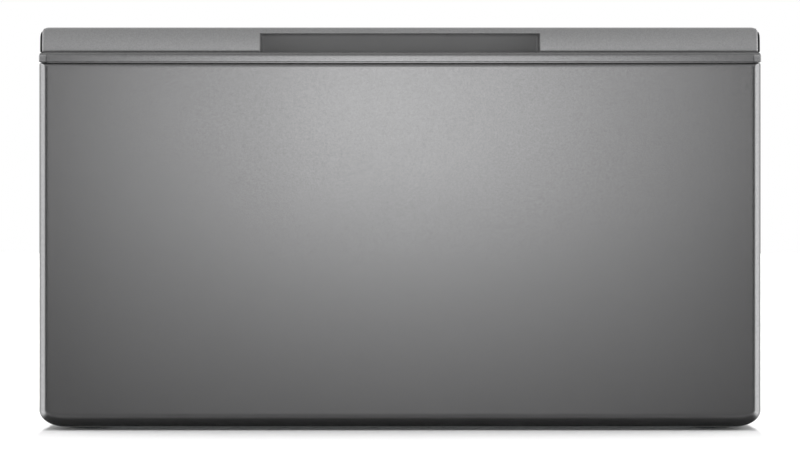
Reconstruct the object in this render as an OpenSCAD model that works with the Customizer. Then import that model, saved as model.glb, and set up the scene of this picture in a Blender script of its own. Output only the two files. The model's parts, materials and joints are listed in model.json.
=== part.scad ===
// Laundry pedestal: a steel stand with one storage drawer that carries a front-load washer.
// Millimetres. +Z is up and the drawer front faces -Y. The origin is on the floor, below the
// middle of the body. Left and right are as seen by a person facing the drawer.

/* [Body] */
// Width of the drawer front, the same as the washer that stands on it
body_w = 686; // [676:1:700]
// Depth from the drawer front to the back panel
body_d = 676; // [670:1:690]
// Height of the deck above the floor with the feet screwed in
body_h = 383; // [380:1:396]
// Height of the drawer front's lower edge above the floor
floor_gap = 3; // [2:1:6]
// Height of the side and back panels' lower edges above the floor
panel_gap = 9; // [8:0.5:12]

/* [Sheet metal] */
// Thickness of the panels and of the drawer box
sheet_t = 1; // [0.8:0.1:1.2]
// Thickness of the deck
deck_t = 1.2; // [1:0.1:1.5]
// Thickness of the rails and posts
frame_t = 2; // [1.5:0.1:2.5]

/* [Drawer front] */
// Thickness of the drawer front from its face to the liner's back
front_t = 40; // [38:1:44]
// Height of the handle rail
handle_h = 24; // [22:0.5:25]
// Height of the trim strip between the steel skin and the handle rail
trim_h = 9; // [8:0.5:11]
// Radius of the skin's upright edges
skin_edge_r = 8; // [6:0.5:9]
// Radius of the roll along the skin's lower edge
skin_roll_r = 12; // [10:1:14]
// Width of the skin's two rounded lower corners, seen from the front
skin_corner_w = 25; // [18:1:28]
// Height of the skin's two rounded lower corners, seen from the front
skin_corner_h = 16; // [14:1:20]
// Width of the grip opening
grip_w = 267; // [220:1:300]

/* [Drawer] */
// Height of the drawer walls
wall_h = 234; // [200:1:236]
// Length of the drawer box, front to back
box_l = 581; // [565:1:590]
// Width of the pieces of sheet turned over along the top of the drawer's walls
hem_w = 10; // [8:1:12]

/* [Slides] */
// Length of the ball-bearing slides
slide_l = 550; // [530:1:560]
// Height of the slides' middle line above the floor
slide_z = 150; // [140:1:170]
// Diameter of the balls
ball_d = 4; // [3.8:0.1:4.1]

/* [Feet] */
// Radius of the feet's threaded stems
stem_r = 5; // [4:0.5:5]
// Radius of the feet's pads
pad_r = 20; // [16:1:22]

/* [Hidden] */
$fn = 48;
eps = 0.01;

// Fasteners
shank_r = 2;
hole_r = 2.1;
head_r = 4.4;
head_h = 2.4;

// Main planes
half_w = body_w / 2;
front_y = -body_d / 2;
back_y = body_d / 2;
liner_y = front_y + front_t;
cab_y = liner_y + 4;
cab_x = half_w - 2;
side_x = cab_x - sheet_t;
deck_z = body_h - deck_t;
flange_z = deck_z - sheet_t;
shell_y = back_y - head_h;
rear_y = shell_y - sheet_t;

// Frame
support_t = 1.5;
slide_t = 12.7;
box_x = half_w - 43;
slide_x = box_x + slide_t;
post_x = slide_x + support_t;
post_l = 30;
post_front_y = cab_y + sheet_t;
post_rear_y = rear_y - sheet_t;
flange_w = 20;
side_return_w = 23;
base_z = 24;
base_in_x = half_w - 63;
base_wall_z = 50;
rail_d = 25;
top_rail_h = 37;
low_rail_z = 12;
support_h = 55;

// Deck: cups for the washer's corner bolts, and stiffening beads
cup_x = half_w - 61;
cup_front_y = cab_y + 69;
cup_rear_y = cup_front_y + 490;
cup_r = 36;
cup_depth = 4;
cup_hole_r = 5.5;
bead_r = 12;
bead_depth = 3;
deck_bead_l = 380;
deck_bead_xs = [-180, -90, 90, 180];
deck_lip_h = 10;
back_bead_zs = [110, 200, 290];
back_bead_l = 420;

// Feet
foot_x = half_w - 43;
foot_ys = [cab_y + 44, rear_y - 44];
nut_r = 9.8;
thread_gap = 0.1;
nut_h = 8;
lock_nut_h = 6;
pad_h = 9.5;
stem_z = 4.2;
stem_top_z = 52;

// Drawer front, top end: trim strip, handle rail and pocket
skin_top_r = 4;
rail_top_z = body_h;
rail_z = rail_top_z - handle_h;
trim_top_z = rail_z;
trim_z = trim_top_z - trim_h;
skin_z = trim_z - 1;
skin_h = skin_z - floor_gap;
trim_corner_r = 3.5;
trim_bevel = 3;
rail_u = 6.5;
rail_x = half_w - 0.8;
rail_wall = 2.2;
rail_low_r = 2.5;
rail_lean = 30;
rail_top_r = 3.5;
rail_arc_r = (handle_h - rail_low_r - rail_top_r * (1 - sin(rail_lean))) / sin(rail_lean);
rail_lip_u = rail_u + rail_low_r + 1;
rail_corner_r = 8;
cap_w = 1.3;
grip_top_z = rail_top_z - 5.6;
cup_wall = 2;
pocket_u = 8;
pocket_low_z = trim_top_z - 32.5;
pocket_draft = 2.4;
liner_front = front_t - sheet_t;
boss_xs = [-box_x, -180, 180, box_x];
boss_z = rail_z + 6.5;

// Drawer box
box_z = 55;
box_y0 = liner_y;
box_y1 = liner_y + box_l;
wall_top_z = box_z + wall_h + sheet_t;
notch_xs = [-150, 0, 150];
notch_w = 5;
divider_t = 3;
rib_h = 2.5;
hand_y = (box_y0 + box_y1) / 2;
hand_z = wall_top_z - 42;
floor_bead_xs = [-225, -75, 75, 225];

// Slide section, measured from the outer member's outside face
s_t = 1.2;
outer_h = 22.6;
middle_h = 17;
inner_h = 11.4;
outer_ball_z = 19.2;
inner_ball_z = 13.6;
cage_t = 0.6;
cage_l = 240;
balls_per_row = 8;
slide_y0 = post_front_y + 3;
slide_y1 = slide_y0 + slide_l;
slide_hole_ys = [slide_y0 + 40, slide_y0 + 250, slide_y1 - 45];
cage_y0 = slide_y0 + 150;
pin_y = slide_y0 + 170;
pin_r = 2;
lever_l = 70;

// Screw places
stiffener_z = 190;
stiffener_h = 52;
stiffener_flange_w = 18;
stiffener_flange_z = stiffener_h / 2 + stiffener_flange_w / 2;
liner_screw_x = half_w - 9;
liner_screw_zs = [60, 150, 240, 330];
low_screw_xs = [-200, 0, 200];
low_screw_z = floor_gap + 9.5;
box_screw_xs = [-240, -80, 80, 240];
box_screw_zs = [stiffener_z - stiffener_flange_z, stiffener_z + stiffener_flange_z];
back_screw_x = side_x - 10;
back_screw_zs = [40, 150, 260, 360];
back_low_screw_xs = [-180, 0, 180];
back_low_screw_z = low_rail_z + 19;
bumper_x = half_w - 13;
bumper_zs = [105, 285];

// ---- Helpers ----

// Box between two opposite corners
module block(lo, hi) translate(lo) cube(hi - lo);

// Profile drawn as (Y, Z), extruded along X
module along_x(x0, x1) translate([x0, 0, 0]) rotate([90, 0, 90]) linear_extrude(x1 - x0) children();

// Profile drawn as (X, Z), extruded along Y
module along_y(y0, y1) translate([0, y1, 0]) rotate([90, 0, 0]) linear_extrude(y1 - y0) children();

// Round bar along Y
module rod_y(x, z, r, y0, y1) translate([x, y1, z]) rotate([90, 0, 0]) cylinder(r = r, h = y1 - y0);

// Round bar along X
module rod_x(y, z, r, x0, x1) translate([x0, y, z]) rotate([0, 90, 0]) cylinder(r = r, h = x1 - x0);

// Hexagon prism along Y
module hex_y(x, z, r, y0, y1) translate([x, y1, z]) rotate([90, 0, 0]) cylinder(r = r, h = y1 - y0, $fn = 6);

module right_hand() mirror([1, 0, 0]) children();

// Points of an arc, both ends included
function arc(c, r, a0, a1, n = 8) =
    [for (i = [0:n]) c + r * [cos(a0 + (a1 - a0) * i / n), sin(a0 + (a1 - a0) * i / n)]];

// Rectangle whose two lower corners are quarter ellipses, a wide and b high
module low_rounded(w, z0, z1, a, b) polygon(concat(
    [[w / 2, z1], [-w / 2, z1]],
    [for (t = [0:7.5:90]) [-w / 2 + a * (1 - cos(t)), z0 + b * (1 - sin(t))]],
    [for (t = [90:-7.5:0]) [w / 2 - a * (1 - cos(t)), z0 + b * (1 - sin(t))]]
));

// Straight bar with ball ends along X, for pressing a bead
module bead_tool(l, r) {
    rotate([0, 90, 0]) cylinder(r = r, h = l, center = true);
    for (end = [-1, 1]) translate([end * l / 2, 0, 0]) sphere(r = r);
}

// Pressed beads in a plate whose outer face is z = 0 and whose thickness goes down.
// Each bead is [x, y, length, angle].
module press_beads(beads, t) {
    rise = bead_r - bead_depth;
    difference() {
        union() {
            children();
            intersection() {
                for (b = beads) translate([b[0], b[1], rise]) rotate(b[3]) bead_tool(b[2], bead_r + t);
                translate([-500, -500, -50]) cube([1000, 1000, 50 - t + eps]);
            }
        }
        for (b = beads) translate([b[0], b[1], rise]) rotate(b[3]) bead_tool(b[2], bead_r);
    }
}

// ---- Cabinet ----

module left_side_panel() color("dimgray") difference() {
    union() {
        block([-cab_x, cab_y, panel_gap], [-side_x, rear_y, deck_z]);
        block([-cab_x, cab_y, flange_z], [-cab_x + flange_w, rear_y, deck_z]);
        block([-cab_x, cab_y, panel_gap], [-cab_x + side_return_w, cab_y + sheet_t, deck_z]);
        block([-cab_x, rear_y - sheet_t, panel_gap], [-cab_x + flange_w, rear_y, deck_z]);
    }
    for (z = back_screw_zs) rod_y(-back_screw_x, z, hole_r, rear_y - 5, rear_y + 5);
}

module right_side_panel() right_hand() left_side_panel();

module back_panel() color("silver") difference() {
    union() {
        translate([0, shell_y, 0]) rotate([-90, 0, 0])
            press_beads([for (z = back_bead_zs) [0, -z, back_bead_l, 0]], sheet_t)
                block([-cab_x + 1, -deck_z, -sheet_t], [cab_x - 1, -panel_gap, 0]);
        block([-cab_x + side_return_w, rear_y - flange_w, flange_z],
              [cab_x - side_return_w, rear_y + eps, deck_z]);
    }
    for (side = [-1, 1], z = back_screw_zs) rod_y(side * back_screw_x, z, hole_r, rear_y - 5, shell_y + 5);
    for (x = back_low_screw_xs) rod_y(x, back_low_screw_z, hole_r, rear_y - 5, shell_y + 5);
}

// Cup pressed into the deck around each of the washer's corner bolts
module deck_cup() rotate_extrude($fn = 64) polygon([
    [cup_r + 0.5, body_h], [cup_r, body_h], [cup_r - 5, body_h - cup_depth],
    [cup_hole_r, body_h - cup_depth], [cup_hole_r, deck_z - cup_depth],
    [cup_r - 4.5, deck_z - cup_depth], [cup_r + 0.5, deck_z]
]);

module at_cups() for (x = [-cup_x, cup_x], y = [cup_front_y, cup_rear_y]) translate([x, y, 0]) children();

module top_deck() color("dimgray") {
    difference() {
        translate([0, 0, body_h])
            press_beads([for (x = deck_bead_xs) [x, 20, deck_bead_l, 90]], deck_t)
                block([-cab_x, cab_y, -deck_t], [cab_x, shell_y, 0]);
        at_cups() translate([0, 0, deck_z - 5]) cylinder(r = cup_r + 0.2, h = 12, $fn = 64);
    }
    at_cups() deck_cup();
    block([-cab_x, cab_y - deck_t, body_h - deck_lip_h], [cab_x, cab_y + eps, body_h]);
}

// C channel along X whose web is at y_web and whose flanges reach to y_open
module channel_x(half_l, y_web, y_open, z0, z1) {
    lo = min(y_web, y_open);
    hi = max(y_web, y_open);
    inner = y_web < y_open ? [lo + frame_t, hi + 1] : [lo - 1, hi - frame_t];
    difference() {
        block([-half_l, lo, z0], [half_l, hi, z1]);
        block([-half_l - 1, inner[0], z0 + frame_t], [half_l + 1, inner[1], z1 - frame_t]);
    }
}

module front_top_rail() color("silver")
    channel_x(post_x, post_front_y, post_front_y + rail_d + 2, flange_z - top_rail_h, flange_z);

module front_bottom_rail() color("silver")
    channel_x(base_in_x, post_front_y, post_front_y + rail_d, low_rail_z, base_wall_z);

module rear_bottom_rail() color("silver") difference() {
    channel_x(base_in_x, post_rear_y, post_rear_y - rail_d, low_rail_z, base_wall_z);
    for (x = back_low_screw_xs) rod_y(x, back_low_screw_z, hole_r, post_rear_y - 5, post_rear_y + 5);
}

// Long base rail that carries the feet and posts on one side
module left_base_rail() color("silver") difference() {
    union() {
        block([-side_x, post_front_y, base_z], [-base_in_x, post_rear_y, base_z + frame_t]);
        block([-base_in_x - frame_t, post_front_y, base_z], [-base_in_x, post_rear_y, base_wall_z]);
        for (y = [post_front_y, post_rear_y - frame_t])
            block([-post_x, y, base_z], [-base_in_x, y + frame_t, base_wall_z]);
    }
    for (y = foot_ys) translate([-foot_x, y, base_z - 1]) cylinder(r = stem_r + 0.3, h = frame_t + 2);
}

module right_base_rail() right_hand() left_base_rail();

// Folded corner post, a channel that opens away from its own end of the cabinet
module corner_post(y0, y1, open_to_rear) color("silver") difference() {
    block([-side_x, y0, base_z + frame_t], [-post_x, y1, flange_z]);
    block([-side_x + frame_t, open_to_rear ? y0 + frame_t : y0 - 1, base_z],
          [-post_x - frame_t, open_to_rear ? y1 + 1 : y1 - frame_t, flange_z + 1]);
}

module front_left_post() corner_post(post_front_y, post_front_y + post_l, true);
module front_right_post() right_hand() front_left_post();
module rear_left_post() color("silver") difference() {
    corner_post(post_rear_y - post_l, post_rear_y, false);
    for (z = back_screw_zs) rod_y(-back_screw_x, z, hole_r, post_rear_y - 5, post_rear_y + 5);
}
module rear_right_post() right_hand() rear_left_post();

// Channel that carries one slide between the posts
module left_slide_support() color("silver") difference() {
    union() {
        block([-post_x, slide_y0 - 1, slide_z - support_h / 2],
              [-slide_x, post_rear_y - 2, slide_z + support_h / 2]);
        for (z = [slide_z - support_h / 2, slide_z + support_h / 2 - support_t])
            block([-side_x + 0.5, post_front_y + post_l + 0.5, z],
                  [-post_x + eps, post_rear_y - post_l - 0.5, z + support_t]);
    }
    for (y = slide_hole_ys) rod_x(y, slide_z, hole_r, -post_x - 5, -slide_x + 5);
}

module right_slide_support() right_hand() left_slide_support();

module foot_weld_nuts() color("silver") at_feet() difference() {
    translate([0, 0, base_z + frame_t]) cylinder(r = nut_r, h = nut_h, $fn = 6);
    translate([0, 0, base_z]) cylinder(r = stem_r + thread_gap, h = 2 * nut_h);
}

module foot_lock_nuts() color("silver") at_feet() difference() {
    translate([0, 0, base_z - lock_nut_h]) cylinder(r = nut_r, h = lock_nut_h, $fn = 6);
    translate([0, 0, base_z - 2 * lock_nut_h]) cylinder(r = stem_r + thread_gap, h = 3 * lock_nut_h);
}

// Hexagon-head sheet screw along Y; its head's seat is at y = 0 and its tip points to -Y
module screw_y(l) {
    hex_y(0, 0, head_r, 0, head_h);
    rod_y(0, 0, head_r + 0.6, 0, 0.6);
    rod_y(0, 0, shank_r, -l, eps);
}

module back_panel_screws() color("silver") {
    for (side = [-1, 1], z = back_screw_zs) translate([side * back_screw_x, shell_y, z]) screw_y(8);
    for (x = back_low_screw_xs) translate([x, shell_y, back_low_screw_z]) screw_y(8);
}

module slide_mount_screws() color("silver") for (side = [0, 1], y = slide_hole_ys) mirror([side, 0, 0]) {
    rod_x(y, slide_z, head_r, -post_x - head_h, -post_x);
    rod_x(y, slide_z, shank_r, -post_x - eps, -slide_x + s_t);
}

// ---- Feet ----

module at_feet() for (x = [-foot_x, foot_x], y = foot_ys) translate([x, y, 0]) children();

module foot_pad() color([0.12, 0.12, 0.12]) rotate_extrude($fn = 64) polygon(concat(
    [[0, 0], [pad_r - 2, 0]],
    arc([pad_r - 2, 2], 2, -90, 0, 4),
    [[pad_r, 4.5], [stem_r + 5, pad_h - 2], [stem_r + 5, pad_h]],
    [[stem_r + 0.05, pad_h], [stem_r + 0.05, stem_z - 0.2], [0, stem_z - 0.2]]
));

module foot_stem() color("silver") {
    translate([0, 0, stem_z]) cylinder(r = stem_r, h = stem_top_z - stem_z);
    translate([0, 0, pad_h + 0.2]) cylinder(r = nut_r - 1.5, h = lock_nut_h, $fn = 6);
}

module front_left_foot_pad() translate([-foot_x, foot_ys[0], 0]) foot_pad();
module front_right_foot_pad() translate([foot_x, foot_ys[0], 0]) foot_pad();
module rear_left_foot_pad() translate([-foot_x, foot_ys[1], 0]) foot_pad();
module rear_right_foot_pad() translate([foot_x, foot_ys[1], 0]) foot_pad();
module front_left_foot_stem() translate([-foot_x, foot_ys[0], 0]) foot_stem();
module front_right_foot_stem() translate([foot_x, foot_ys[0], 0]) foot_stem();
module rear_left_foot_stem() translate([-foot_x, foot_ys[1], 0]) foot_stem();
module rear_right_foot_stem() translate([foot_x, foot_ys[1], 0]) foot_stem();

// ---- Slides ----

// Slide sections are drawn in X across the thickness, 0 at the outer member's outside face, and Z from the
// slide's middle line. The left slide stands at -slide_x.
module at_slide() translate([-slide_x, 0, slide_z]) children();

// Channel along Y with its web at x0 and flanges reaching x1, 2 * h tall
module slide_channel(x0, x1, h, y0, y1) difference() {
    block([min(x0, x1), y0, -h], [max(x0, x1), y1, h]);
    if (x0 < x1) block([x0 + s_t, y0 - 1, -h + s_t], [x1 + 1, y1 + 1, h - s_t]);
    else block([x1 - 1, y0 - 1, -h + s_t], [x0 - s_t, y1 + 1, h - s_t]);
}

module left_slide_outer() color("silver") at_slide() difference() {
    union() {
        slide_channel(0, 11.7, outer_h, slide_y0, slide_y1);
        for (side = [0, 1]) mirror([0, 0, side])
            block([10.5, slide_y0, outer_h - 2.7], [11.7, slide_y1, outer_h - eps]);
        block([s_t - eps, slide_y1 - 1.5, -8], [9, slide_y1, 8]);
    }
    for (y = slide_hole_ys) rod_x(y, 0, hole_r, -5, 5);
}

module left_slide_middle() color("silver") at_slide() difference() {
    slide_channel(2.6, 10.6, middle_h, slide_y0, slide_y1 - 3);
    for (y = [slide_y0 + 60, slide_y0 + 300]) rod_x(y, 0, 4, -5, 5);
}

module left_slide_inner() color("silver") at_slide() {
    difference() {
        slide_channel(slide_t, 5.2, inner_h, slide_y0, slide_y1 - 5);
        for (y = slide_hole_ys) rod_x(y, 0, hole_r, 5, 20);
    }
    rod_x(pin_y, 0, pin_r, 6.6, slide_t - s_t + eps);
    rod_x(pin_y, 0, pin_r + 1.2, 6, 6.7);
}

module right_slide_outer() right_hand() left_slide_outer();
module right_slide_middle() right_hand() left_slide_middle();
module right_slide_inner() right_hand() left_slide_inner();

function ball_ys() = [for (i = [0:balls_per_row - 1]) cage_y0 + cage_l * (i + 0.5) / balls_per_row];

module balls(x, z) color("gainsboro") at_slide()
    for (y = ball_ys(), side = [-1, 1]) translate([x, y, side * z]) sphere(r = ball_d / 2);

// Thin strip bent round the member it rides on, with one pocket for each ball
module ball_cage(x0, x_ball, z) color("gray") at_slide() difference() {
    block([x0, cage_y0, -z - cage_t / 2], [9.6, cage_y0 + cage_l, z + cage_t / 2]);
    block([x0 + cage_t, cage_y0 - 1, -z + cage_t / 2], [10, cage_y0 + cage_l + 1, z - cage_t / 2]);
    for (y = ball_ys(), side = [-1, 1])
        translate([x_ball, y, side * z]) cylinder(r = ball_d / 2 + 0.1, h = 2, center = true);
}

module left_outer_ball_cage() ball_cage(1.6, 6.8, outer_ball_z);
module left_inner_ball_cage() ball_cage(4.1, 7.4, inner_ball_z);
module left_outer_balls() balls(6.8, outer_ball_z);
module left_inner_balls() balls(7.4, inner_ball_z);
module right_outer_ball_cage() right_hand() left_outer_ball_cage();
module right_inner_ball_cage() right_hand() left_inner_ball_cage();
module right_outer_balls() right_hand() left_outer_balls();
module right_inner_balls() right_hand() left_inner_balls();

// Lever that a finger lifts to free the drawer from its slide
module left_release_lever() color([0.1, 0.1, 0.1]) at_slide() difference() {
    union() {
        rod_x(pin_y, 0, 4.5, 7.4, 10.6);
        block([7.4, pin_y - lever_l, -3], [10.6, pin_y, 3]);
        block([7.4, pin_y - lever_l, -3], [10.6, pin_y - lever_l + 12, 4.5]);
    }
    rod_x(pin_y, 0, pin_r + 0.08, 5, 12);
}

module right_release_lever() right_hand() left_release_lever();

// ---- Drawer front ----

// Outside of the steel skin, d further in: its plan, side and front outlines taken together
module skin_form(d, back_u) intersection() {
    translate([0, 0, floor_gap + d]) linear_extrude(skin_h - 2 * d) skin_plan(d, back_u);
    along_x(-half_w, half_w) skin_side(d, back_u);
    along_y(front_y + d, front_y + back_u)
        low_rounded(body_w - 2 * d, floor_gap + d, skin_z - d, skin_corner_w - d, skin_corner_h - d);
}

module skin_plan(d, back_u) {
    r = skin_edge_r - d;
    translate([-half_w + d, front_y + skin_edge_r]) square([body_w - 2 * d, back_u - skin_edge_r]);
    translate([-half_w + skin_edge_r, front_y + d]) square([body_w - 2 * skin_edge_r, r + eps]);
    for (side = [-1, 1]) translate([side * (half_w - skin_edge_r), front_y + skin_edge_r]) circle(r = r);
}

module skin_side(d, back_u) {
    low = floor_gap + skin_roll_r;
    translate([front_y + d, low]) square([back_u, skin_z - skin_top_r - low]);
    translate([front_y + skin_roll_r, floor_gap + d]) square([back_u, skin_h - 2 * d]);
    translate([front_y + skin_top_r, low]) square([back_u, skin_z - d - low]);
    translate([front_y + skin_roll_r, low]) circle(r = skin_roll_r - d);
    translate([front_y + skin_top_r, skin_z - skin_top_r]) circle(r = skin_top_r - d);
}

module front_skin() color("dimgray") difference() {
    skin_form(0, liner_front);
    intersection() {
        skin_form(sheet_t, liner_front);
        block([-half_w, front_y, 0], [half_w, front_y + liner_front - sheet_t, body_h]);
    }
    block([-half_w + 17, front_y + 20, floor_gap + 17], [half_w - 17, front_y + front_t, skin_z - sheet_t]);
    block([-grip_w / 2 - 6, front_y + pocket_u - 1, skin_z - 5],
          [grip_w / 2 + 6, front_y + front_t, skin_z + 1]);
    at_liner_screws() rod_y(0, 0, hole_r, -9, 5);
}

module front_liner() color("lightgray") difference() {
    along_y(liner_y - sheet_t, liner_y)
        low_rounded(body_w - 4, floor_gap + 2, body_h - 2, skin_corner_w - 2, skin_corner_h - 2);
    at_front_screws() rod_y(0, 0, hole_r, -5, 5);
}

// Seats of the screws that hold the liner, seen from the drawer's side
module at_liner_screws() {
    for (side = [-1, 1], z = liner_screw_zs) translate([side * liner_screw_x, liner_y, z]) children();
    for (x = low_screw_xs) translate([x, liner_y, low_screw_z]) children();
    for (x = boss_xs) translate([x, liner_y, boss_z]) children();
}

module at_box_screws() for (x = box_screw_xs, z = box_screw_zs)
    translate([x, liner_y + sheet_t, z]) children();

module at_front_screws() {
    at_liner_screws() children();
    at_box_screws() children();
}

module front_screws() color("silver") {
    at_liner_screws() screw_y(7);
    at_box_screws() screw_y(7);
}

// Hat channel that ties the skin to the liner
module front_stiffener() color("silver") difference() {
    wide_h = stiffener_h + 2 * stiffener_flange_w;
    clear_h = stiffener_h - 2 * support_t;
    depth = liner_front - sheet_t;
    translate([0, front_y + sheet_t, stiffener_z]) along_x(-box_x - 10, box_x + 10) difference() {
        union() {
            translate([0, -stiffener_h / 2]) square([depth, stiffener_h]);
            translate([depth - support_t, -wide_h / 2]) square([support_t, wide_h]);
        }
        translate([support_t, -clear_h / 2]) square([depth, clear_h]);
    }
    at_box_screws() rod_y(0, 0, hole_r, -9, 5);
}

// Trim strip: its bevelled nose runs along the front and round both corners
function trim_nose() =
    let (bevel_z = trim_z + 5, bevel_h = trim_top_z - bevel_z)
    concat(
        [[0, trim_z], [trim_corner_r - 1, trim_z], [trim_corner_r, trim_z + 1]],
        [for (t = [0:10:90]) [trim_corner_r - trim_bevel * (1 - cos(t)), bevel_z + bevel_h * sin(t)]],
        [[0, trim_top_z]]
    );

module handle_trim() color("gray") difference() {
    union() {
        corner_x = half_w - trim_corner_r;
        corner_y = front_y + trim_corner_r;
        along_x(-corner_x, corner_x)
            translate([corner_y, 0]) mirror([1, 0]) polygon(trim_nose());
        for (side = [0, 1]) mirror([side, 0, 0]) {
            translate([-corner_x, corner_y, 0]) rotate(180) rotate_extrude(angle = 90) polygon(trim_nose());
            along_y(corner_y, front_y + liner_front)
                translate([-corner_x, 0]) mirror([1, 0]) polygon(trim_nose());
        }
        block([-corner_x, corner_y, trim_z], [corner_x, front_y + liner_front, trim_top_z]);
        block([-half_w + 5, front_y + 5, skin_z], [half_w - 5, front_y + liner_front, trim_z + 1]);
    }
    block([-half_w + 8.5, front_y + 8.5, skin_z - 1], [half_w - 8.5, front_y + front_t, trim_top_z - 2.5]);
    block([-grip_w / 2 - cup_wall - 1.7, front_y + pocket_u - 0.2, skin_z - 1],
          [grip_w / 2 + cup_wall + 1.7, front_y + front_t, body_h]);
}

// Side outline of the handle rail, d inside its outer face: it rolls under at the foot, leans back above
// that and rounds over to a flat top
function rail_face(d) =
    let (low_c = [front_y + rail_u + rail_low_r, rail_z + rail_low_r],
         face_c = [front_y + rail_u + rail_arc_r, low_c[1]],
         turn = face_c + rail_arc_r * [-cos(rail_lean), sin(rail_lean)],
         top_c = turn + rail_top_r * [cos(rail_lean), -sin(rail_lean)])
    concat(arc(low_c, rail_low_r - d, 270, 180),
           arc(face_c, rail_arc_r - d, 180, 180 - rail_lean),
           arc(top_c, rail_top_r - d, 180 - rail_lean, 90));

module rail_side(d) {
    face = rail_face(d);
    back = front_y + liner_front + d;
    polygon(concat(face, [[back, face[len(face) - 1][1]], [back, face[0][1]]]));
}

// Front outline of the rail with its two rounded upper corners
module rail_outline(x, r) {
    translate([-x, rail_z - 1]) square([2 * x, rail_top_z - rail_z + 1 - r]);
    translate([-x + r, rail_z - 1]) square([2 * x - 2 * r, rail_top_z - rail_z + 1.05]);
    for (side = [-1, 1]) translate([side * (x - r), rail_top_z + 0.05 - r]) circle(r = r);
}

module rail_form(d) intersection() {
    along_x(-rail_x, rail_x) rail_side(d);
    along_y(front_y - 1, front_y + front_t + 1) rail_outline(rail_x - d, rail_corner_r - d);
}

module handle_rail() color("gray") {
    difference() {
        intersection() {
            rail_form(0);
            block([-rail_x + cap_w, front_y, rail_z], [rail_x - cap_w, back_y, body_h]);
        }
        along_x(-body_w, body_w) rail_side(rail_wall);
        block([-half_w, front_y + rail_lip_u, rail_z - 1], [half_w, front_y + front_t, boss_z]);
        block([-grip_w / 2, front_y - 1, rail_z - 1], [grip_w / 2, front_y + 22, grip_top_z]);
    }
    for (x = boss_xs) difference() {
        rod_y(x, boss_z, 4, front_y + rail_u + 1.5, front_y + liner_front);
        rod_y(x, boss_z, hole_r, front_y + 25, front_y + front_t);
    }
}

module left_end_cap() color([0.13, 0.13, 0.13]) intersection() {
    rail_form(0);
    block([-half_w, front_y, rail_z], [-rail_x + cap_w, back_y, body_h]);
}

module right_end_cap() right_hand() left_end_cap();

// Grip pocket: a cup that opens through the rail and drops behind the trim
module handle_pocket() color([0.25, 0.25, 0.26]) difference() {
    intersection() {
        block([-grip_w / 2 - cup_wall, front_y + pocket_u, pocket_low_z - cup_wall],
              [grip_w / 2 + cup_wall, front_y + liner_front, grip_top_z + cup_wall]);
        union() {
            along_x(-body_w, body_w) rail_side(rail_wall + 0.1);
            block([-half_w, front_y, 0], [half_w, front_y + front_t, rail_z]);
            block([-half_w, front_y + rail_lip_u + 0.1, 0], [half_w, front_y + front_t, boss_z]);
        }
    }
    pocket_space();
}

// Space inside the pocket, its end walls drawn in towards the back
module pocket_space() {
    back = front_y + liner_front - cup_wall;
    mouth = front_y + rail_u;
    intersection() {
        linear_extrude(body_h) polygon([
            [-grip_w / 2, mouth], [grip_w / 2, mouth],
            [grip_w / 2 - pocket_draft, back], [-grip_w / 2 + pocket_draft, back]
        ]);
        union() {
            block([-half_w, front_y + pocket_u + cup_wall, pocket_low_z], [half_w, back, grip_top_z]);
            block([-half_w, front_y, rail_z], [half_w, back, grip_top_z]);
        }
    }
}

module drawer_bumpers() color([0.1, 0.1, 0.1])
    for (side = [-1, 1], z = bumper_zs) rod_y(side * bumper_x, z, 6, liner_y, cab_y - 0.3);

// ---- Drawer box ----

module drawer_left_wall() color("gainsboro") difference() {
    union() {
        block([-box_x, box_y0, box_z], [-box_x + sheet_t, box_y1, wall_top_z]);
        block([-box_x, box_y0, wall_top_z - sheet_t], [-box_x + hem_w, box_y1, wall_top_z]);
        block([-box_x, box_y0, box_z], [-box_x + hem_w + 5, box_y1, box_z + sheet_t]);
    }
    for (y = slide_hole_ys) rod_x(y, slide_z, hole_r, -box_x - 5, -box_x + 5);
}

module drawer_right_wall() right_hand() drawer_left_wall();

// End wall of the box between the side walls, its web at y = 0..sheet_t and its lip turned to +Y.
// The lip has the divider's notches.
module end_wall() {
    web_x = box_x - sheet_t;
    lip_x = box_x - hem_w - 0.3;
    difference() {
        union() {
            block([-web_x, 0, box_z + 2 * sheet_t], [web_x, sheet_t, wall_top_z - sheet_t]);
            block([-lip_x, 0, wall_top_z - sheet_t], [lip_x, hem_w, wall_top_z]);
        }
        for (x = notch_xs)
            block([x - notch_w / 2, -1, wall_top_z - 2], [x + notch_w / 2, hem_w + 1, wall_top_z + 1]);
    }
}

module drawer_front_wall() color("gainsboro") difference() {
    translate([0, box_y0, 0]) end_wall();
    at_box_screws() rod_y(0, 0, hole_r, -5, 5);
}

module drawer_back_wall() color("gainsboro") translate([0, box_y1, 0]) mirror([0, 1, 0]) end_wall();

module drawer_floor() color("gainsboro") {
    x = box_x - sheet_t;
    translate([0, (box_y0 + box_y1) / 2, box_z + sheet_t]) mirror([0, 0, 1])
        press_beads([for (bx = floor_bead_xs) [bx, 0, box_l - 120, 90]], sheet_t)
            block([-x, -box_l / 2, -sheet_t], [x, box_l / 2, 0]);
}

module drawer_slide_screws() color("silver") for (side = [0, 1], y = slide_hole_ys) mirror([side, 0, 0]) {
    rod_x(y, slide_z, head_r, -box_x + sheet_t, -box_x + sheet_t + head_h);
    rod_x(y, slide_z, shank_r, -box_x - s_t, -box_x + sheet_t + eps);
}

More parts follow.
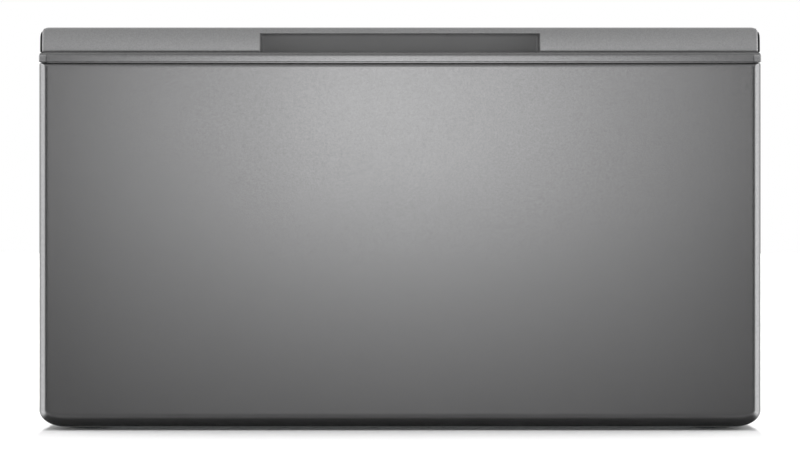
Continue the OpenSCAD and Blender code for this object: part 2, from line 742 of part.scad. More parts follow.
// Plastic divider. Its tabs hang in a facing pair of notches; a short lift frees it to move sideways
module drawer_divider() color("whitesmoke") difference() {
    x = divider_t / 2;
    y0 = box_y0 + hem_w + 1.5;
    y1 = box_y1 - hem_w - 1.5;
    z0 = box_z + 2 * sheet_t + bead_depth;
    z1 = wall_top_z - 6;
    union() {
        block([-x, y0, z0], [x, y1, z1]);
        for (y = [y0 + 6, y1 - 9]) block([-x - rib_h, y, z0 + 8], [x + rib_h, y + 3, z1 - 8]);
        for (z = [z0 + 8, z1 - 11]) block([-x - rib_h, y0 + 6, z], [x + rib_h, y1 - 6, z + 3]);
        for (y = [[box_y0 + sheet_t + 0.5, y0 + 8], [y1 - 8, box_y1 - sheet_t - 0.5]]) {
            block([-x, y[0], z1 - 4], [x, y[1], wall_top_z + 3]);
            block([-8, y[0], wall_top_z + 0.1], [8, y[1], wall_top_z + 3]);
        }
    }
    for (dy = [-38, 38]) rod_x(hand_y + dy, hand_z, 12, -10, 10);
    block([-10, hand_y - 38, hand_z - 12], [10, hand_y + 38, hand_z + 12]);
}

// ---- Assembly ----

left_side_panel();
right_side_panel();
back_panel();
top_deck();
front_top_rail();
front_bottom_rail();
rear_bottom_rail();
left_base_rail();
right_base_rail();
front_left_post();
front_right_post();
rear_left_post();
rear_right_post();
left_slide_support();
right_slide_support();
left_slide_outer();
right_slide_outer();
foot_weld_nuts();
foot_lock_nuts();
back_panel_screws();
slide_mount_screws();
front_left_foot_pad();
front_right_foot_pad();
rear_left_foot_pad();
rear_right_foot_pad();
front_left_foot_stem();
front_right_foot_stem();
rear_left_foot_stem();
rear_right_foot_stem();
left_slide_middle();
right_slide_middle();
left_outer_ball_cage();
right_outer_ball_cage();
left_inner_ball_cage();
right_inner_ball_cage();
left_outer_balls();
right_outer_balls();
left_inner_balls();
right_inner_balls();
front_skin();
front_liner();
front_stiffener();
handle_rail();
handle_pocket();
handle_trim();
left_end_cap();
right_end_cap();
drawer_left_wall();
drawer_right_wall();
drawer_back_wall();
drawer_front_wall();
drawer_floor();
left_slide_inner();
right_slide_inner();
drawer_slide_screws();
front_screws();
drawer_bumpers();
drawer_divider();
left_release_lever();
right_release_lever();
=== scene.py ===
"""Looks of a laundry pedestal with one drawer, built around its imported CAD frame."""

import json
import math

import bmesh
import bpy
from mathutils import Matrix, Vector


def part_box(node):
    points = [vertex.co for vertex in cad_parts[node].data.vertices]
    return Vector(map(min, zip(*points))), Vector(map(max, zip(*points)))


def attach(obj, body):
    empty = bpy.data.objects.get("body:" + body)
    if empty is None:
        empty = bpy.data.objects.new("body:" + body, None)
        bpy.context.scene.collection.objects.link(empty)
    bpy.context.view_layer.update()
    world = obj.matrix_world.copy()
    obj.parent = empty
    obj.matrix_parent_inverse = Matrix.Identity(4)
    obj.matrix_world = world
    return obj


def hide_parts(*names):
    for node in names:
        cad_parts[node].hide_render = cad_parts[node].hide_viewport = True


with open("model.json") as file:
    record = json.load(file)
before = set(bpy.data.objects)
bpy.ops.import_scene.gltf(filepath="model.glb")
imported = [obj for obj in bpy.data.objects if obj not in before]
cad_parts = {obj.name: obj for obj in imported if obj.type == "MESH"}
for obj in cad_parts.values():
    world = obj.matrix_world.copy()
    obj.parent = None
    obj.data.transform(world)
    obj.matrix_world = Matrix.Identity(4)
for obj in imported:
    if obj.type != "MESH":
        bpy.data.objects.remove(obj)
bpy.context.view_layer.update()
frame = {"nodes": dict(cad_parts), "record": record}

MM = 0.001

# Steel skin of the drawer front
SKIN_SIDE_R = 8 * MM
SKIN_LOW_R = 12 * MM
SKIN_TOP_R = 4 * MM
SKIN_TOP_CORNER_R = 2 * MM
SKIN_CORNER_W = 25 * MM
SKIN_CORNER_H = 16 * MM
SKIN_SHEET = 1 * MM
SKIN_FLANGE = 16 * MM
SKIN_POCKET_GAP = 6 * MM

# Trim strip
TRIM_EDGE_R = 1 * MM
TRIM_FACET_W = 7 * MM
TRIM_FACET_TILT = math.radians(14.5)
TRIM_FACET_R = 5 * MM
TRIM_NOSE_R = 0.4 * MM
TRIM_BEVEL = 3 * MM
TRIM_BEVEL_H = 4 * MM
TRIM_FOOT_INSET = 5 * MM
TRIM_GAP = 1 * MM

# Handle rail
RAIL_LOW_R = 2.5 * MM
RAIL_TOP_R = 3.5 * MM
RAIL_LEAN = math.radians(30)
RAIL_WALL = 2.2 * MM
RAIL_END_R = 2.3 * MM
RAIL_CORNER_R = 8 * MM
# Spans of the rail's side outline, counted from its foot, that the grip opening cuts away
RAIL_GRIP_SPAN = 16
END_CAP_R = 0.6 * MM
END_CAP_INSET = 0.4 * MM

# Grip pocket
CUP_WALL = 2 * MM
CUP_EDGE_R = 3 * MM
CUP_FRONT_U = 10 * MM
CUP_END_DRAFT = 3 * MM
CUP_LIP_R = 1 * MM

# Levelling feet
STEM_R = 5 * MM
THREAD_DEPTH = 0.7 * MM
THREAD_PITCH = 1.5 * MM
STEM_CHAMFER = 1 * MM
HEX_LIFT = 5.5 * MM
HEX_H = 6 * MM
HEX_CHAMFER = 0.6 * MM

# Places that several pieces share
skin_lo, skin_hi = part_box("front_skin")
trim_lo, trim_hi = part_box("handle_trim")
rail_lo, rail_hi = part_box("handle_rail")
cup_lo, cup_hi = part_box("handle_pocket")
FRONT_Y = skin_lo.y
LINER_Y = skin_hi.y
HALF_W = skin_hi.x
GRIP_X = cup_hi.x - CUP_WALL
GRIP_TOP_Z = cup_hi.z - CUP_WALL


# ---- Mesh helpers ----

def arc(centre, radius, start, end, steps):
    """Points of an arc in a plane, angles in radians, both ends included."""
    angles = [start + (end - start) * i / steps for i in range(steps + 1)]
    return [(centre[0] + radius * math.cos(a), centre[1] + radius * math.sin(a)) for a in angles]


def loft(rings, closed=False, skip=None, cap_start=False, cap_end=False):
    """Vertices and faces of a skin through rings of points. closed joins each ring's end to its start."""
    count = len(rings[0])
    verts = [p for ring in rings for p in ring]
    faces = []
    spans = count if closed else count - 1
    for r in range(len(rings) - 1):
        for i in range(spans):
            if skip and skip(r, i):
                continue
            j = (i + 1) % count
            faces.append((r * count + i, r * count + j, (r + 1) * count + j, (r + 1) * count + i))
    if cap_start:
        faces.append(tuple(range(count))[::-1])
    if cap_end:
        faces.append(tuple((len(rings) - 1) * count + i for i in range(count)))
    return verts, faces


def make_piece(name, shape, material, body, nodes, outward=None, sharp=35):
    """A smooth-shaded mesh object that stands for CAD nodes. outward is (point, direction): the face nearest
    to point has its normal turned that way, and the rest follow."""
    mesh = bpy.data.meshes.new(name)
    mesh.from_pydata([tuple(v) for v in shape[0]], [], shape[1])
    work = bmesh.new()
    work.from_mesh(mesh)
    bmesh.ops.remove_doubles(work, verts=work.verts, dist=1e-6)
    bmesh.ops.recalc_face_normals(work, faces=work.faces)
    if outward:
        point, direction = Vector(outward[0]), Vector(outward[1])
        near = min(work.faces, key=lambda f: (f.calc_center_median() - point).length)
        if near.normal.dot(direction) < 0:
            bmesh.ops.reverse_faces(work, faces=work.faces)
    work.to_mesh(mesh)
    work.free()
    mesh.polygons.foreach_set("use_smooth", [True] * len(mesh.polygons))
    mesh.set_sharp_from_angle(angle=math.radians(sharp))
    piece = bpy.data.objects.new(name, mesh)
    bpy.context.scene.collection.objects.link(piece)
    mesh.materials.append(material)
    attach(piece, body)
    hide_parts(*nodes)
    return piece


def thicken(piece, wall):
    """Gives an open shell its wall, inwards from the drawn face."""
    solid = piece.modifiers.new("wall", "SOLIDIFY")
    solid.thickness = wall
    solid.offset = -1
    return piece


def round_edges(piece, width, angle=40):
    """Rounds sharp edges slightly, so that they catch light."""
    bevel = piece.modifiers.new("edges", "BEVEL")
    bevel.width = width
    bevel.segments = 3
    bevel.limit_method = "ANGLE"
    bevel.angle_limit = math.radians(angle)
    bevel.harden_normals = True
    return piece


# ---- Materials ----

class Nodes:
    """Short calls for a material's node tree."""

    def __init__(self, name, **values):
        self.material = bpy.data.materials.new(name)
        self.material.use_nodes = True
        self.tree = self.material.node_tree
        self.shader = self.tree.nodes["Principled BSDF"]
        for socket, value in values.items():
            self.shader.inputs[socket.replace("_", " ")].default_value = value
        self.place = self.tree.nodes.new("ShaderNodeTexCoord").outputs["Object"]
        self.under = None

    def new(self, kind, links=(), **values):
        node = self.tree.nodes.new(kind)
        for key, value in values.items():
            if key in node.inputs:
                node.inputs[key].default_value = value
            else:
                setattr(node, key, value)
        for socket, source in links:
            self.tree.links.new(source, node.inputs[socket])
        return node

    def stretched(self, scale):
        """The object's coordinates, scaled per axis."""
        return self.new("ShaderNodeMapping", [("Vector", self.place)], Scale=scale).outputs[0]

    def noise(self, scale, detail=3, place=None):
        links = [("Vector", place or self.place)]
        return self.new("ShaderNodeTexNoise", links, Scale=scale, Detail=detail).outputs["Fac"]

    def cells(self, scale, place=None):
        """One random colour for each cell."""
        links = [("Vector", place or self.place)]
        return self.new("ShaderNodeTexVoronoi", links, Scale=scale).outputs["Color"]

    def level(self, source, low, high, from_low=0.0, from_high=1.0):
        node = self.new("ShaderNodeMapRange", [("Value", source)])
        for i, value in enumerate((from_low, from_high, low, high)):
            node.inputs[i + 1].default_value = value
        return node.outputs[0]

    def tint(self, colour, factor):
        """A colour multiplied by a grey value."""
        node = self.new("ShaderNodeVectorMath", operation="SCALE")
        node.inputs[0].default_value = colour
        self.tree.links.new(factor, node.inputs["Scale"])
        return node.outputs[0]

    def shade_edges_round(self, radius=0.5 * MM):
        """Shades sharp edges as if they had a small radius."""
        self.under = self.new("ShaderNodeBevel", Radius=radius, samples=6).outputs[0]

    def set(self, socket, source):
        self.tree.links.new(source, self.shader.inputs[socket])

    def bump(self, source, distance, strength=1.0, under=None):
        links = [("Height", source)]
        under = under or self.under
        if under:
            links.append(("Normal", under))
        node = self.new("ShaderNodeBump", links, Strength=strength, Distance=distance)
        return node.outputs[0]


def grey(value):
    return (value, value, value * 1.01)


def metallic_paint(name, tone, roughness, metallic, folded=False):
    """Grey enamel with fine metal flakes, a slight orange peel and a thin clear coat. folded is for sheet
    metal that keeps its sharp CAD edges."""
    n = Nodes(name, Metallic=metallic, Coat_Weight=0.15, Coat_Roughness=0.2)
    if folded:
        n.shade_edges_round()
    flake = n.new("ShaderNodeSeparateColor", [("Color", n.cells(1600))]).outputs[0]
    n.set("Base Color", n.tint(grey(tone), n.level(flake, 0.9, 1.1)))
    n.set("Roughness", n.level(n.noise(9), roughness - 0.015, roughness + 0.015))
    peel = n.bump(n.noise(420, 2), 0.02 * MM, 0.5)
    n.set("Normal", n.bump(flake, 0.004 * MM, 0.4, peel))
    return n.material


def powder_coat(name, colour):
    """Light powder coat with its fine pebbled skin."""
    n = Nodes(name, Specular_IOR_Level=0.5)
    n.shade_edges_round()
    n.set("Base Color", n.tint(colour, n.level(n.noise(14), 0.96, 1.03)))
    n.set("Roughness", n.level(n.noise(60), 0.42, 0.52))
    n.set("Normal", n.bump(n.noise(900, 2), 0.03 * MM, 0.7))
    return n.material


def galvanised(name):
    """Zinc-coated sheet with spangle."""
    n = Nodes(name, Metallic=1.0)
    n.shade_edges_round()
    ripple = n.tint((0.012, 0.012, 0.012), n.noise(60))
    wavy = n.new("ShaderNodeVectorMath", [(0, n.place), (1, ripple)], operation="ADD")
    spangle = n.new("ShaderNodeSeparateColor", [("Color", n.cells(85, wavy.outputs[0]))]).outputs[1]
    n.set("Base Color", n.tint((0.56, 0.575, 0.59), n.level(spangle, 0.86, 1.08)))
    n.set("Roughness", n.level(spangle, 0.36, 0.5))
    n.set("Normal", n.bump(n.noise(500), 0.01 * MM, 0.5))
    return n.material


def plated_steel(name, tone, roughness, streak=(60, 4, 60)):
    """Zinc-plated steel with drawing marks along one axis and faint handling stains."""
    n = Nodes(name, Metallic=1.0)
    lines = n.noise(12, 4, n.stretched(streak))
    stain = n.noise(22, 4)
    n.set("Base Color", n.tint(grey(tone), n.level(stain, 0.88, 1.06)))
    n.set("Roughness", n.level(lines, roughness - 0.07, roughness + 0.09))
    n.set("Normal", n.bump(lines, 0.01 * MM, 0.6))
    return n.material


def moulded_plastic(name, tone, roughness, grain=1500):
    """Moulded plastic with a fine spark-eroded grain."""
    n = Nodes(name, Specular_IOR_Level=0.4)
    n.set("Base Color", n.tint(grey(tone), n.level(n.noise(30), 0.94, 1.05)))
    n.set("Roughness", n.level(n.noise(80), roughness - 0.04, roughness + 0.05))
    n.set("Normal", n.bump(n.noise(grain, 2), 0.03 * MM, 0.6))
    return n.material


def rubber(name):
    """Black rubber with a dusty bloom."""
    n = Nodes(name, Specular_IOR_Level=0.3)
    n.set("Base Color", n.tint(grey(0.03), n.level(n.noise(45), 0.8, 1.5)))
    n.set("Roughness", n.level(n.noise(90), 0.7, 0.88))
    n.set("Normal", n.bump(n.noise(700), 0.05 * MM, 0.6))
    return n.material


def polished_steel(name):
    """Bearing balls with faint running marks."""
    n = Nodes(name, Metallic=1.0)
    n.set("Base Color", n.tint(grey(0.75), n.level(n.noise(800), 0.95, 1.02)))
    n.set("Roughness", n.level(n.noise(1500), 0.06, 0.14))
    return n.material


def studio_floor(name):
    """Pale matt floor with a barely visible mottle."""
    n = Nodes(name, Specular_IOR_Level=0.1, Roughness=0.9)
    n.set("Base Color", n.tint((0.93, 0.93, 0.93), n.level(n.noise(2.5), 0.99, 1.0)))
    n.set("Normal", n.bump(n.noise(200), 0.02 * MM, 0.3))
    return n.material


def make_materials():
    return {
        "front_paint": metallic_paint("front_paint", 0.30, 0.26, 0.9),
        "handle_paint": metallic_paint("handle_paint", 0.40, 0.43, 0.75),
        "cabinet_paint": metallic_paint("cabinet_paint", 0.27, 0.36, 0.75, folded=True),
        "drawer_paint": powder_coat("drawer_paint", (0.62, 0.62, 0.61)),
        "galvanised_steel": galvanised("galvanised_steel"),
        "slide_steel": plated_steel("slide_steel", 0.62, 0.3),
        "cage_steel": plated_steel("cage_steel", 0.45, 0.38),
        "fastener_steel": plated_steel("fastener_steel", 0.58, 0.34, (40, 40, 40)),
        "ball_steel": polished_steel("ball_steel"),
        "pocket_plastic": moulded_plastic("pocket_plastic", 0.245, 0.45),
        "divider_plastic": moulded_plastic("divider_plastic", 0.66, 0.42),
        "black_plastic": moulded_plastic("black_plastic", 0.025, 0.4),
        "rubber": rubber("rubber"),
    }


def paint_cad_nodes(materials):
    """Gives each CAD node the material of its slot."""
    for part in frame["record"]["subparts"]:
        node = frame["nodes"][part["node"]]
        node.data.materials.clear()
        node.data.materials.append(materials[part["material_slot"]])


# ---- Drawer front ----

def skin_outline(inset, face):
    """One ring of the skin in front view. inset and face give, for a local edge radius, how far the ring
    lies inside the outline and how far behind the front plane."""
    side, low, top = inset(SKIN_SIDE_R), inset(SKIN_LOW_R), inset(SKIN_TOP_R)
    x = HALF_W - side
    z0, z1 = skin_lo.z + low, skin_hi.z - top
    corner_w, corner_h = max(SKIN_CORNER_W - side, 2 * MM), max(SKIN_CORNER_H - low, 2 * MM)
    half = [(GRIP_X + SKIN_POCKET_GAP, z1, SKIN_TOP_R)]
    for i in range(7):
        t = math.radians(15 * i)
        edge = SKIN_TOP_R * math.cos(t) ** 2 + SKIN_SIDE_R * math.sin(t) ** 2
        turn_x, turn_z = SKIN_TOP_CORNER_R * (1 - math.sin(t)), SKIN_TOP_CORNER_R * (1 - math.cos(t))
        half.append((x - turn_x, z1 - turn_z, edge))
    for i in range(25):
        t = math.radians(3.75 * i)
        edge = SKIN_SIDE_R * math.cos(t) ** 2 + SKIN_LOW_R * math.sin(t) ** 2
        half.append((x - corner_w * (1 - math.cos(t)), z0 + corner_h * (1 - math.sin(t)), edge))
    left = [(-px, pz, edge) for px, pz, edge in reversed(half)]
    return [(px, FRONT_Y + face(edge), pz) for px, pz, edge in half + left]


def front_skin(materials):
    """Folded steel skin: flat face, edges rolled back and a return flange behind."""
    depth = LINER_Y - FRONT_Y
    rings = [
        skin_outline(lambda r: min(SKIN_FLANGE, 2 * r), lambda r: depth),
        skin_outline(lambda r: 0, lambda r: depth),
        skin_outline(lambda r: 0, lambda r: r + 3 * MM),
    ]
    for i in range(13):
        t = math.radians(7.5 * i)
        rings.append(skin_outline(lambda r: r * (1 - math.cos(t)), lambda r: r * (1 - math.sin(t))))
    rings.append(skin_outline(lambda r: r + 1.5 * MM, lambda r: 0))
    count = len(rings[0])
    # the last span of each ring is the top edge between the pocket's two sides
    shape = loft(rings, closed=True, skip=lambda r, i: r < 2 and i == count - 1, cap_end=True)
    aim = ((0, FRONT_Y, skin_lo.z + 0.15), (0, -1, 0))
    piece = make_piece("front_skin_shell", shape, materials["front_paint"], "drawer", ["front_skin"],
                       aim, sharp=50)
    thicken(piece, SKIN_SHEET)
    piece.modifiers.new("flat_faces_first", "WEIGHTED_NORMAL").keep_sharp = True
    return piece


def trim_section():
    """Closed section of the trim strip as (inset, z), from its foot round the nose."""
    low, top = trim_lo.z + TRIM_GAP, trim_hi.z
    nose = arc((TRIM_NOSE_R, low + TRIM_NOSE_R), TRIM_NOSE_R, math.radians(270), math.radians(180), 4)
    bevel = [(TRIM_BEVEL * (1 - math.cos(t)), top - TRIM_BEVEL_H * (1 - math.sin(t)))
             for t in [math.radians(9 * i) for i in range(11)]]
    back = CUP_FRONT_U - CUP_WALL - 0.4 * MM
    foot = [(TRIM_FOOT_INSET, trim_lo.z), (TRIM_FOOT_INSET, low)]
    return [*foot, *nose, *bevel, (back, top), (back, trim_lo.z)]


def trim_corners():
    """Bends of the strip's outer face in plan, from the left end round the front: each has its corner, the
    inward normals before and after it and its radius. Both ends of the face lean back a little."""
    side, face = Vector((1, 0)), Vector((0, 1))
    facet = Vector((math.sin(TRIM_FACET_TILT), math.cos(TRIM_FACET_TILT)))
    drop = TRIM_FACET_W * math.tan(TRIM_FACET_TILT)
    left = [
        (Vector((-HALF_W, LINER_Y)), side, side, 0.0),
        (Vector((-HALF_W, FRONT_Y + drop)), side, facet, TRIM_EDGE_R),
        (Vector((-HALF_W + TRIM_FACET_W, FRONT_Y)), facet, face, TRIM_FACET_R),
    ]
    flip = Vector((-1, 1))
    right = [(corner * flip, after * flip, before * flip, r) for corner, before, after, r in reversed(left)]
    return left + right


def trim_ring(corner, before, after, radius, turn, section):
    """The section set up at one bend, at a share turn of the way from the normal before to the one after."""
    mitre = (before + after) / (1 + before.dot(after))
    normal = before.lerp(after, turn).normalized()
    ring = []
    for inset, z in section:
        point = corner + mitre * max(inset, radius) - normal * max(radius - inset, 0)
        ring.append((point.x, point.y, z))
    return ring


def handle_trim(materials):
    """Bevelled strip that runs along the front and round both corners."""
    section = trim_section()
    rings = []
    for *bend, radius in trim_corners():
        steps = 6 if radius else 0
        rings += [trim_ring(*bend, radius, i / max(steps, 1), section) for i in range(steps + 1)]
    shape = loft(rings, closed=True, cap_start=True, cap_end=True)
    aim = ((0, FRONT_Y, trim_lo.z + 4 * MM), (0, -1, 0))
    piece = make_piece("handle_trim_strip", shape, materials["front_paint"], "drawer", ["handle_trim"],
                       aim, sharp=50)
    piece.modifiers.new("flat_faces_first", "WEIGHTED_NORMAL").keep_sharp = True
    return piece


def rail_section(x, end_x, inset_r, base_inset=0.0):
    """Side outline of the handle rail at x as (y, z). It shrinks towards the rounded end at end_x."""
    corner_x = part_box("right_end_cap")[1].x
    across = max(RAIL_CORNER_R - (corner_x - x), 0)
    drop = RAIL_CORNER_R - math.sqrt(max(RAIL_CORNER_R ** 2 - across ** 2, 0))
    near = max(inset_r - (end_x - x), 0)
    inset = base_inset + inset_r - math.sqrt(max(inset_r ** 2 - near ** 2, 0))
    full_h = rail_hi.z - rail_lo.z - RAIL_LOW_R - RAIL_TOP_R
    arc_r = full_h / math.sin(RAIL_LEAN) + RAIL_TOP_R
    lean = math.asin((full_h - drop) / (arc_r - RAIL_TOP_R))
    grip_lean = math.asin((GRIP_TOP_Z - rail_lo.z - RAIL_LOW_R) / arc_r)
    split = lean * grip_lean / RAIL_LEAN
    low_c = (rail_lo.y + RAIL_LOW_R, rail_lo.z + RAIL_LOW_R)
    face_c = (rail_lo.y + arc_r, low_c[1])
    back = arc_r - RAIL_TOP_R
    top_c = (face_c[0] - back * math.cos(lean), face_c[1] + back * math.sin(lean))
    quarter = math.pi / 2
    points = arc(low_c, RAIL_LOW_R - inset, 3 * quarter, 2 * quarter, 8)
    points += arc(face_c, arc_r - inset, 2 * quarter, 2 * quarter - split, 8)[1:]
    points += arc(face_c, arc_r - inset, 2 * quarter - split, 2 * quarter - lean, 2)[1:]
    points += arc(top_c, max(RAIL_TOP_R - inset, 0.2 * MM), 2 * quarter - lean, quarter, 6)[1:]
    points.append((LINER_Y, points[-1][1]))
    return points


def handle_rail(materials):
    """Hollow rail along the top of the drawer front, open over the grip pocket."""
    end_x = rail_hi.x
    # distances from the end, close together where the end is rounded
    steps = [0, 0.05, 0.2, 0.5, 0.9, 1.4, 2, 3, 4, 5.2, 6.7]
    xs = [end_x - s * MM for s in steps] + [GRIP_X + 60 * MM, GRIP_X]
    xs += [-x for x in reversed(xs)]
    rings = [[(x, y, z) for y, z in rail_section(abs(x), end_x, RAIL_END_R)] for x in xs]
    middle = len(xs) // 2 - 1
    verts, faces = loft(rings, skip=lambda r, i: r == middle and i < RAIL_GRIP_SPAN)
    count = len(rings[0])
    for start in (0, (len(rings) - 1) * count):
        verts.append((verts[start][0], LINER_Y, rail_lo.z))
        faces.append(tuple(range(start, start + count)) + (len(verts) - 1,))
    aim = ((0.2, rail_lo.y, rail_lo.z + 8 * MM), (0, -1, 0))
    piece = make_piece("handle_rail_shell", (verts, faces), materials["handle_paint"], "drawer",
                       ["handle_rail"], aim, sharp=50)
    thicken(piece, RAIL_WALL)
    round_edges(piece, 0.5 * MM, 50)
    return piece


def end_cap(side, materials):
    """Dark plate that closes one end of the handle rail."""
    node = f"{side}_end_cap"
    lo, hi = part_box(node)
    outer, inner = (lo.x, hi.x) if side == "left" else (hi.x, lo.x)
    sign = math.copysign(1, outer)
    rings = []
    for s in (0, 0.1, 0.3, 0.6, (abs(outer) - abs(inner)) / MM):
        x = abs(outer) - s * MM
        section = rail_section(x, abs(outer), END_CAP_R, END_CAP_INSET)
        rings.append([(sign * x, y, z) for y, z in section] + [(sign * x, LINER_Y, section[0][1])])
    shape = loft(rings, closed=True, cap_start=True, cap_end=True)
    aim = ((outer, LINER_Y - 15 * MM, lo.z + 8 * MM), (sign, 0, 0))
    return make_piece(f"{side}_rail_end", shape, materials["black_plastic"], "drawer", [node],
                      aim)


def cup_section(inset):
    """Inside of the grip pocket in side view as (y, z), from the ceiling's front edge round to the lip."""
    r = CUP_EDGE_R
    back = cup_hi.y - CUP_WALL
    floor = cup_lo.z + CUP_WALL
    front = FRONT_Y + CUP_FRONT_U
    lip = trim_hi.z
    mouth = rail_lo.y + RAIL_WALL + 0.3 * MM
    quarter = math.pi / 2
    points = [(mouth + 4 * MM, GRIP_TOP_Z)]
    points += arc((back - r, GRIP_TOP_Z - r), r - inset, quarter, 0, 6)
    points += arc((back - r, floor + r), r - inset, 0, -quarter, 6)
    points += arc((front + r, floor + r), r - inset, -quarter, -2 * quarter, 6)
    points += arc((front - CUP_LIP_R, lip - CUP_LIP_R), CUP_LIP_R, 0, quarter, 4)
    points.append((front - CUP_WALL + 0.1 * MM, lip))
    return points


def handle_pocket(materials):
    """Moulded cup behind the grip opening. Its ends lean in towards the floor and the back."""
    rings = []
    for sign in (-1, 1):
        ends = []
        for s in (0, 0.1, 0.4, 0.9, 1.6, 3, 12):
            near = max(CUP_EDGE_R - s * MM, 0)
            inset = CUP_EDGE_R - math.sqrt(CUP_EDGE_R ** 2 - near ** 2)
            ends.append([(sign * (GRIP_X - s * MM), y, z) for y, z in cup_section(inset * 0.98)])
        rings += ends if sign < 0 else ends[::-1]
    depth, height = cup_hi.y - rail_lo.y, GRIP_TOP_Z - trim_hi.z
    for ring in rings[:6] + rings[-6:]:
        for i, (x, y, z) in enumerate(ring):
            fall = min((GRIP_TOP_Z - z) / height, 1.3)
            draft = CUP_END_DRAFT * max(y - rail_lo.y, 0) / depth * max(fall, 0.25)
            ring[i] = (x - math.copysign(draft, x), y, z)
    verts, faces = loft(rings)
    count = len(rings[0])
    last = (len(rings) - 1) * count
    faces += [tuple(range(count)), tuple(range(last, last + count))]
    aim = ((0, cup_hi.y - CUP_WALL, GRIP_TOP_Z - 15 * MM), (0, -1, 0))
    piece = make_piece("grip_pocket_cup", (verts, faces), materials["pocket_plastic"], "drawer",
                       ["handle_pocket"], aim, sharp=60)
    thicken(piece, CUP_WALL * 0.9)
    return piece


# ---- Feet ----

def foot_stem(corner, materials):
    """Levelling foot's stem with a real thread and a hexagonal foot."""
    node = f"{corner}_foot_stem"
    lo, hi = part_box(node)
    cx, cy = (lo.x + hi.x) / 2, (lo.y + hi.y) / 2
    sides, rows_per_turn = 20, 6
    rows = int((hi.z - lo.z) / THREAD_PITCH * rows_per_turn)
    rings = []
    for row in range(rows + 1):
        z = lo.z + (hi.z - lo.z) * row / rows
        chamfer = max(STEM_CHAMFER - (hi.z - z), 0)
        ring = []
        for i in range(sides):
            phase = ((z - lo.z) / THREAD_PITCH - i / sides) % 1
            r = STEM_R - THREAD_DEPTH * (1 - abs(2 * phase - 1)) - chamfer
            a = 2 * math.pi * i / sides
            ring.append((cx + r * math.cos(a), cy + r * math.sin(a), z))
        rings.append(ring)
    shape = loft(rings, closed=True, cap_start=True, cap_end=True)
    hex_r, hex_z0 = (hi.x - lo.x) / 2, lo.z + HEX_LIFT
    hexes = []
    for z, scale in ((0, 0.9), (HEX_CHAMFER, 1), (HEX_H - HEX_CHAMFER, 1), (HEX_H, 0.9)):
        angles = [math.radians(60 * i) for i in range(6)]
        hexes.append([(cx + hex_r * scale * math.cos(a), cy + hex_r * scale * math.sin(a), hex_z0 + z)
                      for a in angles])
    extra = loft(hexes, closed=True, cap_start=True, cap_end=True)
    base = len(shape[0])
    verts = shape[0] + extra[0]
    faces = shape[1] + [tuple(base + i for i in face) for face in extra[1]]
    return make_piece(f"{corner}_threaded_stem", (verts, faces), materials["fastener_steel"],
                      f"{corner}_stem", [node], sharp=25)


# ---- Studio ----

CAMERA_Z = 0.1888
CAMERA_GAP = 5.0
FRAME_W = 0.7595
SENSOR_W = 36.0

# Places of the lights in front of the drawer
LIT_Z = 0.34
KEY_GAP = 1.4
KEY_Z = 0.347
HIGH_GAP = 1.6
UPPER_Z = 0.95
HIGH_Z = 1.6

# Light levels. Each key panel has its size and its power.
SIDE_CARDS = 1.8
BACK_CARDS = 0.5
LOW_GLOW = 0.2
CEILING = 0.3
BACK_CEILING = 0.65
KEY_PANELS = (((0.3, 0.3), 0.72), ((0.8, 0.3), 0.85), ((0.8, 0.7), 0.7))
UPPER_POWER = 1.0
HIGH_POWER = 0.4
FLOOR_LEVEL = 1.4
FLOOR_BACK_LEVEL = 5.0


def make_camera():
    """Straight-on camera at the body's middle height. FRAME_W is the picture's width in the front plane."""
    data = bpy.data.cameras.new("camera")
    data.sensor_width = SENSOR_W
    data.lens = SENSOR_W * CAMERA_GAP / FRAME_W
    camera = bpy.data.objects.new("camera", data)
    camera.location = (0, FRONT_Y - CAMERA_GAP, CAMERA_Z)
    camera.rotation_euler = (math.radians(90), 0, 0)
    bpy.context.scene.collection.objects.link(camera)
    bpy.context.scene.camera = camera


def make_floor():
    mesh = bpy.data.meshes.new("floor")
    half = 40
    corners = [(-half, -half, 0), (half, -half, 0), (half, half, 0), (-half, half, 0)]
    mesh.from_pydata(corners, [], [(0, 1, 2, 3)])
    floor = bpy.data.objects.new("floor", mesh)
    mesh.materials.append(studio_floor("floor"))
    bpy.context.scene.collection.objects.link(floor)
    bpy.data.collections.new("floor_only").objects.link(floor)
    floor.visible_glossy = False
    floor.location.z = -0.2 * MM


def softbox(name, place, aim, size, power):
    data = bpy.data.lights.new(name, "AREA")
    data.shape = "RECTANGLE"
    data.size, data.size_y = size
    data.energy = power
    lamp = bpy.data.objects.new(name, data)
    lamp.location = place
    lamp.rotation_euler = (Vector(aim) - Vector(place)).to_track_quat("-Z", "Y").to_euler()
    lamp.visible_camera = False
    bpy.context.scene.collection.objects.link(lamp)


def floor_lamp(name, level, spread, place):
    """A distant lamp that lights the floor only, so that it comes out white round the object's shadow. It
    shines from place towards the origin, spread over so many degrees."""
    data = bpy.data.lights.new(name, "SUN")
    data.energy = level
    data.angle = math.radians(spread)
    lamp = bpy.data.objects.new(name, data)
    lamp.location = place
    lamp.rotation_euler = Vector((-place[0], -place[1], -place[2])).to_track_quat("-Z", "Y").to_euler()
    lamp.light_linking.receiver_collection = bpy.data.collections["floor_only"]
    bpy.context.scene.collection.objects.link(lamp)


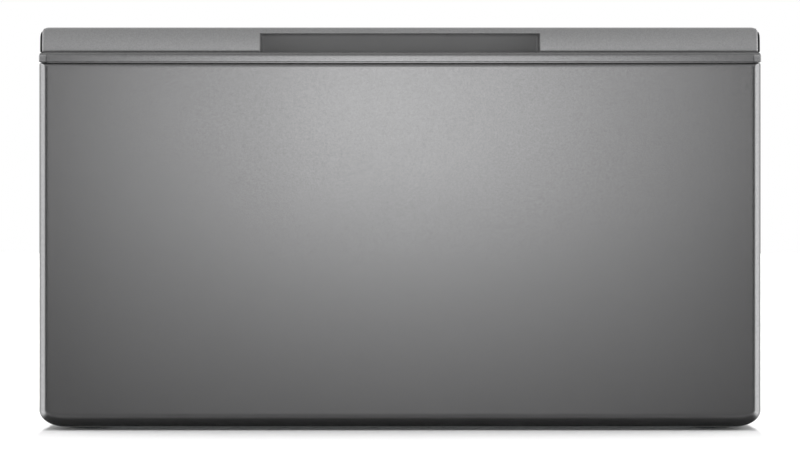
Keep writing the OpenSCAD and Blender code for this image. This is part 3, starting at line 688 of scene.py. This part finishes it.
def make_world():
    """White backdrop. The object sees bright cards beside it, dimmer ones behind it and a dim ceiling."""
    world = bpy.data.worlds.new("studio")
    world.use_nodes = True
    bpy.context.scene.world = world
    tree = world.node_tree
    new, link = tree.nodes.new, tree.links.new

    def math_node(operation, a, b=0.0):
        node = new("ShaderNodeMath")
        node.operation = operation
        for i, value in enumerate((a, b)):
            if isinstance(value, float):
                node.inputs[i].default_value = value
            else:
                link(value, node.inputs[i])
        return node.outputs[0]

    def ramp(source, start, end, low, high):
        node = new("ShaderNodeMapRange")
        node.interpolation_type = "SMOOTHSTEP"
        for i, value in enumerate((start, end, low, high)):
            node.inputs[i + 1].default_value = value
        link(source, node.inputs[0])
        return node.outputs[0]

    def product(*levels):
        result = levels[0]
        for level in levels[1:]:
            result = math_node("MULTIPLY", result, level)
        return result

    split = new("ShaderNodeSeparateXYZ")
    link(new("ShaderNodeTexCoord").outputs["Generated"], split.inputs[0])
    x, y, z = (split.outputs[axis] for axis in "XYZ")
    off_axis, tilt = math_node("ABSOLUTE", x), math_node("ABSOLUTE", z)
    across = ramp(math_node("SUBTRACT", tilt, off_axis), -0.3, 0.2, 1.0, 0.0)
    # cards at the level of the object, seen only by surfaces that turn away from the camera
    cards = product(ramp(y, -0.86, -0.76, 0.0, SIDE_CARDS), ramp(y, 0.05, 0.3, 1.0, BACK_CARDS),
                    across, ramp(x, -0.3, 0.3, 0.95, 1.05))
    # a faint glow from just above the floor
    low = product(ramp(z, -0.25, -0.1, LOW_GLOW, 0.0), ramp(z, -0.6, -0.45, 0.0, 1.0))
    above = product(ramp(z, 0.3, 0.6, 0.0, 1.0), ramp(y, -0.4, 0.0, CEILING, BACK_CEILING))
    level = math_node("ADD", cards, math_node("ADD", low, above))
    seen = new("ShaderNodeLightPath").outputs["Is Camera Ray"]
    link(math_node("MAXIMUM", level, seen), tree.nodes["Background"].inputs["Strength"])
    tree.nodes["Background"].inputs["Color"].default_value = (1, 1, 1, 1)


def make_lights():
    middle = (0, FRONT_Y, LIT_Z)
    for size, power in KEY_PANELS:
        softbox("key", (0, FRONT_Y - KEY_GAP, KEY_Z), middle, size, power)
    softbox("upper_key", (0, FRONT_Y - HIGH_GAP, UPPER_Z), middle, (1.2, 0.4), UPPER_POWER)
    softbox("high", (0, FRONT_Y - HIGH_GAP, HIGH_Z), middle, (1.4, 0.8), HIGH_POWER)
    floor_lamp("floor_light", FLOOR_LEVEL, 50, (0, 0.89, 3))
    floor_lamp("floor_back_light", FLOOR_BACK_LEVEL, 8, (0, 3, 0.7))
    bpy.context.scene.view_settings.view_transform = "Standard"


# ---- Build ----

make_camera()
make_floor()
make_world()
make_lights()
slots = make_materials()
paint_cad_nodes(slots)
front_skin(slots)
handle_trim(slots)
handle_rail(slots)
handle_pocket(slots)
for hand in ("left", "right"):
    end_cap(hand, slots)
for place in ("front_left", "front_right", "rear_left", "rear_right"):
    foot_stem(place, slots)
